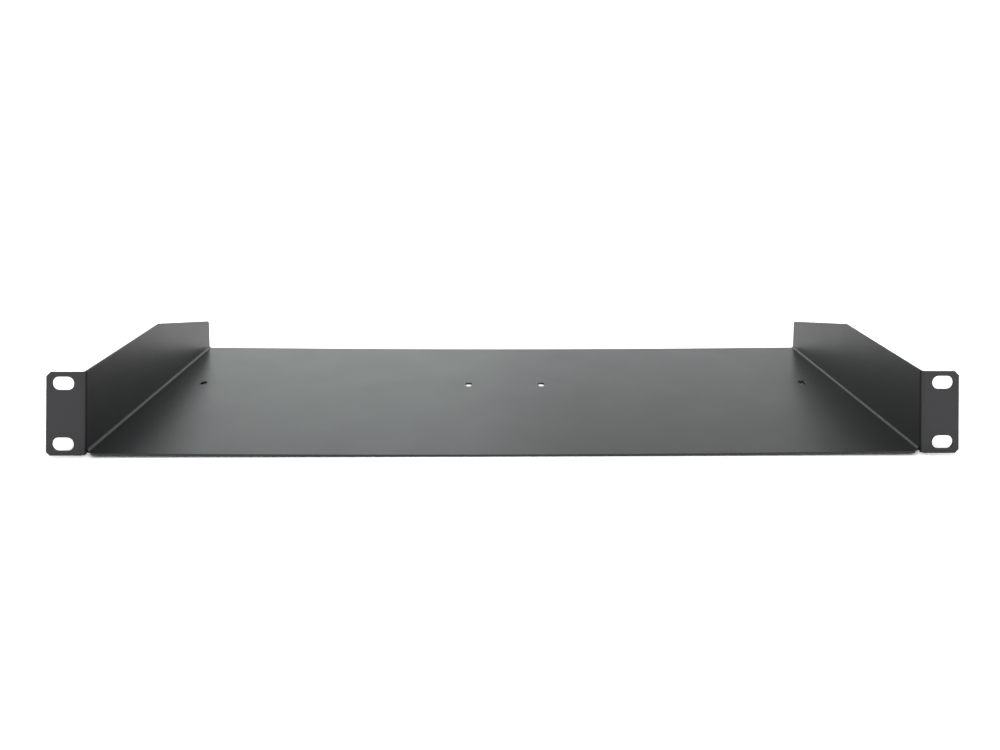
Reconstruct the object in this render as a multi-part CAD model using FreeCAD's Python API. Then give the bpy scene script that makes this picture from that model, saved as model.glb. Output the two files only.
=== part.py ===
import FreeCAD, Part
import os

# Cantilever rack shelf, one rack unit high, folded from one steel sheet. A flat tray turns up
# into two side walls, and the front end of each wall turns outwards into a slotted rack ear.
# All sizes are in millimetres. +X runs across the rack, +Y from the front to the rear and +Z
# up. The origin lies on the underside, below the middle of the tray's width and depth.

# Sheet
sheet = 1.2            # thickness of the steel
bend_inside = 1.2      # inside radius of every fold

# Rack ears
rack_width = 482.6     # over both ears
panel_height = 43.66   # height of the ears and of the side walls, from the underside
ear_width = 19.05      # from the outside of a side wall to the end of its ear
slot_length = 11.4     # mounting slots, along the rack's width
slot_height = 7.1
slot_inset = 8.75      # slot centre from the end of the ear
slot_edge = 5.955      # slot centre from the upper or the lower edge of the ear
corner_cut = 2.0       # 45 degree cut on the ears' outer corners and the tray's front corners

# Tray and side walls
depth = 200.0          # front edge to rear edge
taper_length = 98.0    # the walls slope down over this length, to the rear
rear_height = 21.0     # height of the walls at the rear, from the underside
rear_round = 3.0       # upper rear corner of each wall

# Relief slot at each front corner, where the tray, the side wall and the ear would meet
relief_gap = 1.8       # between the tray's front corner and the inside of the wall
relief_run = 0.6       # how far the slot runs back past the fold of the ear

# Strap slots in the tray: one row across it, each slot running front to rear
strap_slot_width = 4.0
strap_slot_length = 7.5
strap_row = 84.0       # slot centres ahead of the rear edge
inner_pair = 48.0      # between the two slots beside the middle
outer_inset = 24.25    # outer slots, in from the outside of the side walls

# Worked out from the sizes above
bend_outside = bend_inside + sheet
relief_depth = bend_outside + relief_run
wall_outside = rack_width / 2 - ear_width
wall_inside = wall_outside - sheet
front = -depth / 2
rear = depth / 2
across = FreeCAD.Vector(1, 0, 0)
up = FreeCAD.Vector(0, 0, 1)


def point(x, y, z=0.0):
    """A point of the shelf."""
    return FreeCAD.Vector(x, y, z)


def line(start, end):
    """A straight edge between two points."""
    return Part.LineSegment(start, end).toShape()


def fold_arc(radius):
    """A quarter circle about the fold's centre, on the side of the fold's outer corner."""
    centre = point(bend_outside, bend_outside)
    middle = centre - point(1, 1) * (radius / 2 ** 0.5)
    return Part.Arc(centre - point(0, radius), middle, centre - point(radius, 0)).toShape()


def folded_section(first_leg, second_leg):
    """Section of the sheet across one square fold, with its outer corner at the origin.

    The first leg runs along +X and the second along +Y, both measured from the outer corner,
    and the steel lies on the inner side of both axes.
    """
    edges = [
        line(point(first_leg, 0), point(bend_outside, 0)),
        fold_arc(bend_outside),
        line(point(0, bend_outside), point(0, second_leg)),
        line(point(0, second_leg), point(sheet, second_leg)),
        line(point(sheet, second_leg), point(sheet, bend_outside)),
        fold_arc(bend_inside),
        line(point(bend_outside, sheet), point(first_leg, sheet)),
        line(point(first_leg, sheet), point(first_leg, 0)),
    ]
    return Part.Face(Part.Wire(Part.__sortEdges__(edges)))


def obround(length, width):
    """A bar with half-round ends along X that stands through the sheet, centred in it."""
    reach = (length - width) / 2
    low = point(0, 0, -sheet)
    bar = Part.makeBox(2 * reach, width, 3 * sheet, low - point(reach, width / 2))
    ends = [Part.makeCylinder(width / 2, 3 * sheet, low + point(side * reach, 0))
            for side in (-1, 1)]
    return bar.fuse(ends).removeSplitter()


def channel_half():
    """Right half of the tray with its side wall, folded up along its whole depth."""
    section = folded_section(wall_outside, panel_height)
    # The outer corner goes to the lower right, the first leg points inwards, the second up.
    section.rotate(point(0, 0), across, 90)
    section = section.mirror(point(0, 0), across)
    section.translate(point(wall_outside, front))
    return section.extrude(point(0, depth))


def above_wall():
    """What the slope takes off the top of a side wall, down to its rounded rear corner."""
    shoulder = point(0, rear - taper_length, panel_height)
    heel = point(0, rear, rear_height)
    beyond = point(0, rear, panel_height)
    profile = Part.Face(Part.makePolygon([shoulder, heel, beyond, shoulder]))
    return profile.extrude(across * rack_width)


def round_rear_corner(half):
    """Round the upper rear corner of the side wall."""
    corner = [edge for edge in half.Edges
              if all(abs(vertex.Y - rear) + abs(vertex.Z - rear_height) < 0.001
                     for vertex in edge.Vertexes)]
    return half.makeFillet(rear_round, corner)


def cut_relief(half):
    """Cut the front corner clear for the ear's fold, and take off the tray's own corner."""
    tray_corner = wall_inside - relief_gap
    notch = Part.makeBox(rack_width, relief_depth, panel_height, point(tray_corner, front))
    half = half.cut(notch)
    corner = [edge for edge in half.Edges
              if all(abs(vertex.Y - front) + abs(vertex.X - tray_corner) < 0.001
                     for vertex in edge.Vertexes)]
    return half.makeChamfer(corner_cut, corner)


def cut_strap_slots(half):
    """Cut the two strap slots of the tray's right half."""
    slot = obround(strap_slot_length, strap_slot_width)
    slot.rotate(point(0, 0), up, 90)
    for place in (inner_pair / 2, wall_outside - outer_inset):
        half = half.cut(slot.translated(point(place, rear - strap_row)))
    return half


def ear():
    """Right ear, with its fold and the strip of side wall beside the relief slot."""
    section = folded_section(rack_width / 2 - wall_inside, relief_depth)
    strip = section.extrude(up * panel_height)
    strip.translate(point(wall_inside, front))
    # Below the tray's own fold the strip ends with the ear's fold, so the slot runs through.
    notch = Part.makeBox(sheet, relief_run, bend_outside,
                         point(wall_inside, front + bend_outside))
    strip = strip.cut(notch)
    corners = [edge for edge in strip.Edges
               if all(abs(vertex.X - rack_width / 2) < 0.001 for vertex in edge.Vertexes)
               and abs(edge.Vertexes[0].Z - edge.Vertexes[1].Z) < 0.001]
    strip = strip.makeChamfer(corner_cut, corners)
    slot = obround(slot_length, slot_height)
    slot.rotate(point(0, 0), across, -90)
    for height in (slot_edge, panel_height - slot_edge):
        strip = strip.cut(slot.translated(point(rack_width / 2 - slot_inset, front, height)))
    return strip


def shelf():
    """The whole shelf, as one solid with no seam along its middle."""
    half = channel_half().cut(above_wall())
    half = round_rear_corner(half)
    half = cut_relief(half)
    half = cut_strap_slots(half)
    half = half.fuse(ear())
    return half.fuse(half.mirror(point(0, 0), across)).removeSplitter().Solids[0]


os.makedirs("parts", exist_ok=True)
shelf().exportStep("parts/shelf.step")
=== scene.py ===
import logging
import math
from dataclasses import dataclass, field
from enum import Enum

import bmesh
import bpy
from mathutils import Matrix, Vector


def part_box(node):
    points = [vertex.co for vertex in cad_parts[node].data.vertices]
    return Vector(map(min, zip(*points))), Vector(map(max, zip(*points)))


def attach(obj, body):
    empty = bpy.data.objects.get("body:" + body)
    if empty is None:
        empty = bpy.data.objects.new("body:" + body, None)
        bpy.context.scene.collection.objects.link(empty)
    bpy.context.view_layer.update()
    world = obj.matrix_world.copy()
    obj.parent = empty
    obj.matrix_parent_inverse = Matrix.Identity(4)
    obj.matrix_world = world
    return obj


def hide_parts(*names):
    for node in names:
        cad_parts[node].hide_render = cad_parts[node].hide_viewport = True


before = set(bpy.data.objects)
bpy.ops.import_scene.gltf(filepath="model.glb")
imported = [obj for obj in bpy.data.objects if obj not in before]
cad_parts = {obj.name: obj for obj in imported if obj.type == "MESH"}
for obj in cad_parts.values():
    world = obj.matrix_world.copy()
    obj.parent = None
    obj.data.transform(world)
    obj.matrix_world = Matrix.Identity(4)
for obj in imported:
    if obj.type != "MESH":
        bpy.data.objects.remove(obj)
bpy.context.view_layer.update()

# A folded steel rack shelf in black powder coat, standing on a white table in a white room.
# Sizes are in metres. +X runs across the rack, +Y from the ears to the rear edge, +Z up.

MILLIMETRE = 0.001
MERGE_DISTANCE = 0.001 * MILLIMETRE

# Nearly all of a noise pattern lies between these two values.
PATTERN_LOW = 0.3
PATTERN_HIGH = 0.7

# Watts for each square metre of an area lamp, at which it looks as bright as a white of 1.
LAMP_POWER = 4.0

LOG = logging.getLogger("shelf")
Colour = tuple[float, float, float]
Level = float | bpy.types.NodeSocket


class SeenBy(Enum):
    """The rays that show what they meet, by the name of their Light Path output."""

    EYE = "Is Camera Ray"
    SHEEN = "Is Glossy Ray"
    GLASS = "Is Transmission Ray"


class NodeTree:
    """Adds shader nodes to a material or world and wires them up."""

    def __init__(self, owner: bpy.types.ID) -> None:
        """Empty the owner's node tree.

        Args:
            owner: the material or world that is dressed.
        """
        owner.use_nodes = True
        self.tree = owner.node_tree
        self.tree.nodes.clear()

    def add(self, kind: str, **settings: object) -> bpy.types.ShaderNode:
        """Add one node.

        Args:
            kind: the node's type, without its ShaderNode prefix.
            settings: properties to set on the node.

        Returns:
            The new node.
        """
        node = self.tree.nodes.new("ShaderNode" + kind)
        for name, value in settings.items():
            setattr(node, name, value)
        return node

    def join(self, source: bpy.types.NodeSocket, target: bpy.types.NodeSocket) -> None:
        """Wire an output to an input."""
        self.tree.links.new(source, target)

    def noise(self, place: bpy.types.NodeSocket, feature: float,
              detail: float) -> bpy.types.NodeSocket:
        """Add a noise pattern.

        Args:
            place: the coordinates that it is read at.
            feature: rough size of one speck or patch, in metres.
            detail: number of finer layers.

        Returns:
            The pattern's value, around 0.5.
        """
        noise = self.add("TexNoise")
        noise.inputs["Scale"].default_value = 1 / feature
        noise.inputs["Detail"].default_value = detail
        self.join(place, noise.inputs["Vector"])
        return noise.outputs["Fac"]

    def change(self, value: bpy.types.NodeSocket, low: Level, high: Level,
               low_in: float = PATTERN_LOW, high_in: float = PATTERN_HIGH) -> bpy.types.NodeSocket:
        """Change from one level to another as a value rises.

        Args:
            value: the value, such as a noise pattern.
            low: level at low_in and below.
            high: level at high_in and above.
            low_in: value that gives low.
            high_in: value that gives high.

        Returns:
            The level.
        """
        change = self.add("MapRange")
        change.inputs["From Min"].default_value = low_in
        change.inputs["From Max"].default_value = high_in
        for end, level in (("To Min", low), ("To Max", high)):
            if isinstance(level, float):
                change.inputs[end].default_value = level
            else:
                self.join(level, change.inputs[end])
        self.join(value, change.inputs["Value"])
        return change.outputs["Result"]

    def blend(self, factor: bpy.types.NodeSocket, first: Colour,
              second: Colour) -> bpy.types.NodeSocket:
        """Blend two colours.

        Args:
            factor: 0 for the first colour, 1 for the second.
            first: the first colour, linear RGB.
            second: the second colour, linear RGB.

        Returns:
            The blended colour.
        """
        ramp = self.add("ValToRGB")
        ramp.color_ramp.elements[0].color = (*first, 1.0)
        ramp.color_ramp.elements[1].color = (*second, 1.0)
        self.join(factor, ramp.inputs["Fac"])
        return ramp.outputs["Color"]

    def bump(self, height: bpy.types.NodeSocket, depth: float) -> bpy.types.ShaderNode:
        """Add a bump.

        Args:
            height: the pattern that it follows.
            depth: how deep the pattern is, in metres.

        Returns:
            The bump node, whose Normal input takes a finer bump.
        """
        bump = self.add("Bump")
        bump.inputs["Distance"].default_value = depth
        self.join(height, bump.inputs["Height"])
        return bump

    def matt_white(self, level: float) -> bpy.types.NodeSocket:
        """Add a matt white.

        Args:
            level: its share of the light that it sends back.

        Returns:
            The shader.
        """
        white = self.add("BsdfDiffuse")
        white.inputs["Color"].default_value = (level, level, level, 1.0)
        return white.outputs["BSDF"]

    def eye_rays(self) -> bpy.types.NodeSocket:
        """Give 1 for rays from the eye, and 0 for the others."""
        return self.add("LightPath").outputs[SeenBy.EYE.value]

    def seen_rays(self) -> bpy.types.NodeSocket:
        """Tell the rays that show a surface from those that only light the shelf.

        Returns:
            1 for rays from the eye, from a sheen or through glass, and 0 for the others.
        """
        path = self.add("LightPath")
        seen = path.outputs[SeenBy.EYE.value]
        for ray in (SeenBy.SHEEN, SeenBy.GLASS):
            either = self.add("Math", operation="MAXIMUM")
            self.join(seen, either.inputs[0])
            self.join(path.outputs[ray.value], either.inputs[1])
            seen = either.outputs["Value"]
        return seen

    def choose_level(self, rays: bpy.types.NodeSocket, others: Level,
                     chosen: Level) -> bpy.types.NodeSocket:
        """Give the chosen level to the rays that are picked out by a 1, and others to the rest."""
        return self.change(rays, others, chosen, low_in=0.0, high_in=1.0)

    def choose_shader(self, rays: bpy.types.NodeSocket, others: bpy.types.NodeSocket,
                      chosen: bpy.types.NodeSocket) -> bpy.types.NodeSocket:
        """Show one shader to some rays and another to the rest.

        Args:
            rays: 1 for the rays that are picked out, 0 for the rest.
            others: shader for the rest.
            chosen: shader for the rays that are picked out.

        Returns:
            The shader.
        """
        mix = self.add("MixShader")
        self.join(rays, mix.inputs["Fac"])
        self.join(others, mix.inputs[1])
        self.join(chosen, mix.inputs[2])
        return mix.outputs["Shader"]


@dataclass(frozen=True)
class PowderCoat:
    """Black powder coat with a fine, even texture and a semi-matt sheen.

    Attributes:
        dark: colour of the darkest grains, linear RGB.
        light: colour of the lightest grains, linear RGB.
        sheen_tint: tint of the sheen, linear RGB.
        index: index of refraction, which sets the sheen's strength.
        smooth: roughness of the smoothest patches.
        rough: roughness of the roughest patches.
        grain: size of a grain of powder.
        grain_height: depth of the grain.
        ripple: size of a ripple of the orange peel.
        ripple_height: depth of the ripples.
        patch: size of a patch of even roughness.
    """

    dark: Colour = (0.004, 0.004, 0.0046)
    light: Colour = (0.0065, 0.0065, 0.0072)
    sheen_tint: Colour = (0.97, 0.96, 1.0)
    index: float = 1.6
    smooth: float = 0.365
    rough: float = 0.39
    grain: float = 0.35 * MILLIMETRE
    grain_height: float = 0.014 * MILLIMETRE
    ripple: float = 1.6 * MILLIMETRE
    ripple_height: float = 0.02 * MILLIMETRE
    patch: float = 35 * MILLIMETRE

    def material(self) -> bpy.types.Material:
        """Make the coat's material.

        Returns:
            The material, its pattern fixed to the shelf.
        """
        made = bpy.data.materials.new("black_powder_coat")
        nodes = NodeTree(made)
        coat = nodes.add("BsdfPrincipled")
        coat.inputs["IOR"].default_value = self.index
        coat.inputs["Specular Tint"].default_value = (*self.sheen_tint, 1.0)
        place = nodes.add("TexCoord").outputs["Object"]
        grain = nodes.noise(place, self.grain, detail=2.0)
        ripple = nodes.noise(place, self.ripple, detail=1.0)
        patch = nodes.noise(place, self.patch, detail=3.0)
        shade = nodes.blend(nodes.change(grain, 0.0, 1.0), self.dark, self.light)
        nodes.join(shade, coat.inputs["Base Color"])
        nodes.join(nodes.change(patch, self.smooth, self.rough), coat.inputs["Roughness"])
        fine = nodes.bump(grain, self.grain_height)
        broad = nodes.bump(ripple, self.ripple_height)
        nodes.join(fine.outputs["Normal"], broad.inputs["Normal"])
        nodes.join(broad.outputs["Normal"], coat.inputs["Normal"])
        output = nodes.add("OutputMaterial")
        nodes.join(coat.outputs["BSDF"], output.inputs["Surface"])
        return made


@dataclass(frozen=True)
class WhiteTable:
    """White table top that keeps the shadow of what stands on it.

    Attributes:
        plain: its white for the rays that only light the shelf.
        mirrored: its white in a sheen or through glass.
        watched: its white to the eye, at which all but the shadow is fully white.
    """

    plain: float = 0.86
    mirrored: float = 1.5
    watched: float = 2.0

    def material(self) -> bpy.types.Material:
        """Make the table's material.

        Returns:
            The material, with one white for each kind of ray.
        """
        made = bpy.data.materials.new("white_table")
        nodes = NodeTree(made)
        plain = nodes.matt_white(self.plain)
        mirrored = nodes.matt_white(self.mirrored)
        watched = nodes.matt_white(self.watched)
        unwatched = nodes.choose_shader(nodes.seen_rays(), plain, mirrored)
        surface = nodes.choose_shader(nodes.eye_rays(), unwatched, watched)
        output = nodes.add("OutputMaterial")
        nodes.join(surface, output.inputs["Surface"])
        return made


@dataclass
class ShelfBody:
    """The folded sheet: tray, side walls and ears in one piece of steel.

    Attributes:
        node: the CAD node that it stands for.
        sheet: thickness of the steel.
        fold_reach: outer radius of the folds.
        ear_reach: from the outside of a side wall to the end of its ear.
        slack: how far a corner of the mesh may lie off its arc.
        flat_angle: faces that meet at less are one flat face.
        cut_angle: faces that meet at more have a cut edge between them.
        film_round: radius of the coat over the cut edges.
        film_segments: steps in that rounding.
        fold_fill: what the coat adds to the inner radius of the two long folds.
        bow: how far the middle of the tray sags.
        lean: how far a wall leans out at its rear end, as a share of its height.
        strips_across: strips that the tray is divided into from side to side.
        strips_along: strips that the sheet is divided into from front to rear.
        finish: the coat.
    """

    node: str = "shelf"
    sheet: float = 1.2 * MILLIMETRE
    fold_reach: float = 2.4 * MILLIMETRE
    ear_reach: float = 19.05 * MILLIMETRE
    slack: float = 0.02 * MILLIMETRE
    flat_angle: float = math.radians(0.5)
    cut_angle: float = math.radians(60)
    film_round: float = 0.07 * MILLIMETRE
    film_segments: int = 3
    fold_fill: float = 0.35 * MILLIMETRE
    bow: float = 1.25 * MILLIMETRE
    lean: float = 0.032
    strips_across: int = 46
    strips_along: int = 20
    finish: PowderCoat = field(default_factory=PowderCoat)

    def build(self) -> bpy.types.Object:
        """Build the shelf with softened edges and the tray's slight bow.

        Returns:
            The shelf, dressed in its coat.
        """
        sheet = bmesh.new()
        sheet.from_mesh(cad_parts[self.node].data)
        bmesh.ops.remove_doubles(sheet, verts=sheet.verts, dist=MERGE_DISTANCE)
        bmesh.ops.dissolve_limit(sheet, angle_limit=self.flat_angle, verts=sheet.verts,
                                 edges=sheet.edges)
        self.fill_folds(sheet)
        self.divide(sheet)
        self.soften_edges(sheet)
        self.bow_tray(sheet)
        self.lean_walls(sheet)
        mesh = bpy.data.meshes.new("folded_sheet")
        sheet.to_mesh(mesh)
        sheet.free()
        mesh.shade_smooth()
        piece = bpy.data.objects.new("folded_sheet", mesh)
        bpy.context.scene.collection.objects.link(piece)
        normals = piece.modifiers.new("flat_faces_stay_flat", "WEIGHTED_NORMAL")
        normals.mode = "FACE_AREA"
        mesh.materials.append(self.finish.material())
        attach(piece, "root")
        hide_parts(self.node)
        return piece

    def half_tray(self) -> float:
        """Give half the tray's width, up to where the folds begin."""
        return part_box(self.node)[1].x - self.ear_reach - self.fold_reach

    def ends(self) -> tuple[float, float]:
        """Give the places of the front and the rear edge."""
        front, rear = (corner.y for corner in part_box(self.node))
        return front, rear

    def fill_folds(self, sheet: bmesh.types.BMesh) -> None:
        """Widen the inner arc of both long folds, where the coat lies thicker.

        Args:
            sheet: the shelf's mesh.
        """
        radius = self.fold_reach - self.sheet
        for side in (-1, 1):
            centre = Vector((side * self.half_tray(), 0, self.fold_reach))
            shift = Vector((-side * self.fold_fill, 0, self.fold_fill))
            for vertex in sheet.verts:
                spoke = (vertex.co - centre) * Vector((1, 0, 1))
                in_quarter = side * spoke.x >= -self.slack and spoke.z <= self.slack
                if in_quarter and abs(spoke.length - radius) < self.slack:
                    vertex.co += shift + spoke.normalized() * self.fold_fill

    def divide(self, sheet: bmesh.types.BMesh) -> None:
        """Cut the long faces into narrow strips, so that they can bow and lean.

        The numbers of strips keep every cut clear of the slots, where it would leave slivers.

        Args:
            sheet: the shelf's mesh.
        """
        half = self.half_tray()
        front, rear = self.ends()
        across = (Vector((1, 0, 0)), -half, half, self.strips_across)
        along = (Vector((0, 1, 0)), front + self.fold_reach, rear, self.strips_along)
        for axis, start, end, strips in (across, along):
            for cut in range(strips):
                everything = sheet.verts[:] + sheet.edges[:] + sheet.faces[:]
                bmesh.ops.bisect_plane(sheet, geom=everything, dist=MERGE_DISTANCE,
                                       plane_co=axis * (start + (end - start) * cut / strips),
                                       plane_no=axis)

    def soften_edges(self, sheet: bmesh.types.BMesh) -> None:
        """Round every cut edge of the sheet, as the coat does.

        Args:
            sheet: the shelf's mesh.
        """
        cut_edges = [edge for edge in sheet.edges if edge.calc_face_angle(0) > self.cut_angle]
        bmesh.ops.bevel(sheet, geom=cut_edges, offset=self.film_round, affect="EDGES",
                        segments=self.film_segments, profile=0.5, material=-1,
                        clamp_overlap=True)

    def bow_tray(self, sheet: bmesh.types.BMesh) -> None:
        """Let the tray sag a little between its folds.

        Args:
            sheet: the shelf's mesh.
        """
        half = self.half_tray()
        for vertex in sheet.verts:
            if abs(vertex.co.x) < half:
                vertex.co.z -= self.bow * math.cos(math.pi / 2 * vertex.co.x / half)

    def lean_walls(self, sheet: bmesh.types.BMesh) -> None:
        """Let the free rear ends of the side walls lean out a little.

        Args:
            sheet: the shelf's mesh.
        """
        half = self.half_tray()
        front, rear = self.ends()
        for vertex in sheet.verts:
            rise = max(vertex.co.z - self.fold_reach, 0)
            along = (vertex.co.y - front) / (rear - front)
            if abs(vertex.co.x) > half:
                vertex.co.x += math.copysign(self.lean * rise * along ** 2, vertex.co.x)


@dataclass
class Table:
    """The white table top under the shelf.

    Attributes:
        height: where it lies, level with the shelf's lowest point.
        half_size: half the length of its sides.
        finish: the paint.
    """

    height: float
    half_size: float = 6.0
    finish: WhiteTable = field(default_factory=WhiteTable)

    def build(self) -> bpy.types.Object:
        """Build the table top.

        Returns:
            The table top.
        """
        top = bmesh.new()
        bmesh.ops.create_grid(top, x_segments=1, y_segments=1, size=self.half_size)
        bmesh.ops.translate(top, verts=top.verts, vec=(0, 0, self.height))
        mesh = bpy.data.meshes.new("table_top")
        top.to_mesh(mesh)
        top.free()
        piece = bpy.data.objects.new("table_top", mesh)
        bpy.context.scene.collection.objects.link(piece)
        mesh.materials.append(self.finish.material())
        return piece


@dataclass
class Lamp:
    """A soft flat lamp that looks at the shelf.

    Attributes:
        name: what it is called.
        place: its middle.
        width: its size across.
        height: its size upwards.
        brightness: how bright it looks, where 1 is white.
        colour: its colour, linear RGB.
    """

    name: str
    place: tuple[float, float, float]
    width: float
    height: float
    brightness: float
    colour: Colour = (0.885, 1.0, 0.955)

    def build(self) -> bpy.types.Object:
        """Hang the lamp.

        Returns:
            The lamp.
        """
        light = bpy.data.lights.new(self.name, "AREA")
        light.shape = "RECTANGLE"
        light.size = self.width
        light.size_y = self.height
        light.energy = LAMP_POWER * self.brightness * self.width * self.height
        light.color = self.colour
        lamp = bpy.data.objects.new(self.name, light)
        lamp.location = self.place
        lamp.rotation_euler = (-Vector(self.place)).to_track_quat("-Z", "Y").to_euler()
        bpy.context.scene.collection.objects.link(lamp)
        return lamp


@dataclass
class Room:
    """The room: white all round low down, dimmer above, and two lamps behind the shelf.

    A fade is given by the two values between which the room changes. They are shares of the
    direction that is looked in: its upward part for the heights, and its part across the shelf
    for the sides.

    Attributes:
        light: brightness for the rays that only light the shelf.
        low: brightness low down.
        behind: brightness higher up, in front of the shelf and behind it.
        beside: brightness higher up, to the left and the right.
        overhead: brightness overhead.
        low_fade: upward part, from low down to higher up.
        side_fade: part across, from behind to beside.
        overhead_fade: upward part, from higher up to overhead.
        lamps: the lamps.
    """

    light: float = 0.8
    low: float = 1.04
    behind: float = 0.6
    beside: float = 0.35
    overhead: float = 0.6
    low_fade: tuple[float, float] = (0.135, 0.16)
    side_fade: tuple[float, float] = (0.36, 0.5)
    overhead_fade: tuple[float, float] = (0.5, 0.8)
    lamps: list[Lamp] = field(default_factory=lambda: [
        Lamp("rear_strip", place=(0.0, 2.356, 0.458), width=2.24, height=0.28, brightness=1.68),
        Lamp("rear_left_panel", place=(-0.471, 2.124, 1.014), width=1.06, height=0.93,
             brightness=0.61),
    ])

    def build(self) -> bpy.types.World:
        """Light the room.

        Returns:
            The room, made the scene's world.
        """
        world = bpy.data.worlds.new("white_room")
        bpy.context.scene.world = world
        nodes = NodeTree(world)
        glow = nodes.add("Background")
        glow.inputs["Color"].default_value = (1.0, 1.0, 1.0, 1.0)
        strength = nodes.choose_level(nodes.seen_rays(), self.light, self.seen(nodes))
        nodes.join(strength, glow.inputs["Strength"])
        output = nodes.add("OutputWorld")
        nodes.join(glow.outputs["Background"], output.inputs["Surface"])
        for lamp in self.lamps:
            hung = lamp.build()
            LOG.info("%s hangs at %s", hung.name, lamp.place)
        return world

    def seen(self, nodes: NodeTree) -> bpy.types.NodeSocket:
        """Work out how bright the room looks in each direction.

        Args:
            nodes: the world's nodes.

        Returns:
            The brightness.
        """
        direction = nodes.add("SeparateXYZ")
        nodes.join(nodes.add("TexCoord").outputs["Generated"], direction.inputs["Vector"])
        upward = direction.outputs["Z"]
        across = nodes.add("Math", operation="ABSOLUTE")
        nodes.join(direction.outputs["X"], across.inputs[0])
        walls = nodes.change(across.outputs["Value"], self.behind, self.beside, *self.side_fade)
        high = nodes.change(upward, walls, self.overhead, *self.overhead_fade)
        return nodes.change(upward, self.low, high, *self.low_fade)


@dataclass
class Viewpoint:
    """The camera in front of the shelf, level, with its lens lowered onto the shelf.

    Attributes:
        place: where it stands.
        turn: its turn to the right, in radians.
        roll: its roll about the line of sight, in radians.
        lens: focal length in millimetres, for a picture 36 mm wide.
        aside: shift of the lens to the left, as a share of the picture's width.
        lowered: shift of the lens downwards, as a share of the picture's width.
    """

    place: tuple[float, float, float] = (-0.00857, -0.5597, 0.18376)
    turn: float = 0.0235
    roll: float = -0.0063
    lens: float = 31.315
    aside: float = 0.0142
    lowered: float = 0.2682

    def build(self) -> bpy.types.Object:
        """Set up the camera.

        Returns:
            The camera, made the scene's own.
        """
        data = bpy.data.cameras.new("camera")
        data.lens = self.lens
        data.shift_x = -self.aside
        data.shift_y = -self.lowered
        camera = bpy.data.objects.new("camera", data)
        camera.location = self.place
        camera.rotation_euler = (math.pi / 2, self.roll, -self.turn)
        bpy.context.scene.collection.objects.link(camera)
        bpy.context.scene.camera = camera
        return camera


def main() -> None:
    """Build the shelf and the scene around it."""
    logging.basicConfig(level=logging.INFO, format="%(name)s: %(message)s")
    bpy.context.scene.view_settings.view_transform = "Standard"
    body = ShelfBody()
    shelf = body.build()
    LOG.info("%s has %d faces", shelf.name, len(shelf.data.polygons))
    table = Table(height=-body.bow)
    top = table.build()
    LOG.info("%s lies at %.5f", top.name, table.height)
    room = Room().build()
    LOG.info("%s is lit", room.name)
    camera = Viewpoint().build()
    LOG.info("%s is set up", camera.name)


if __name__ == "__main__":
    main()
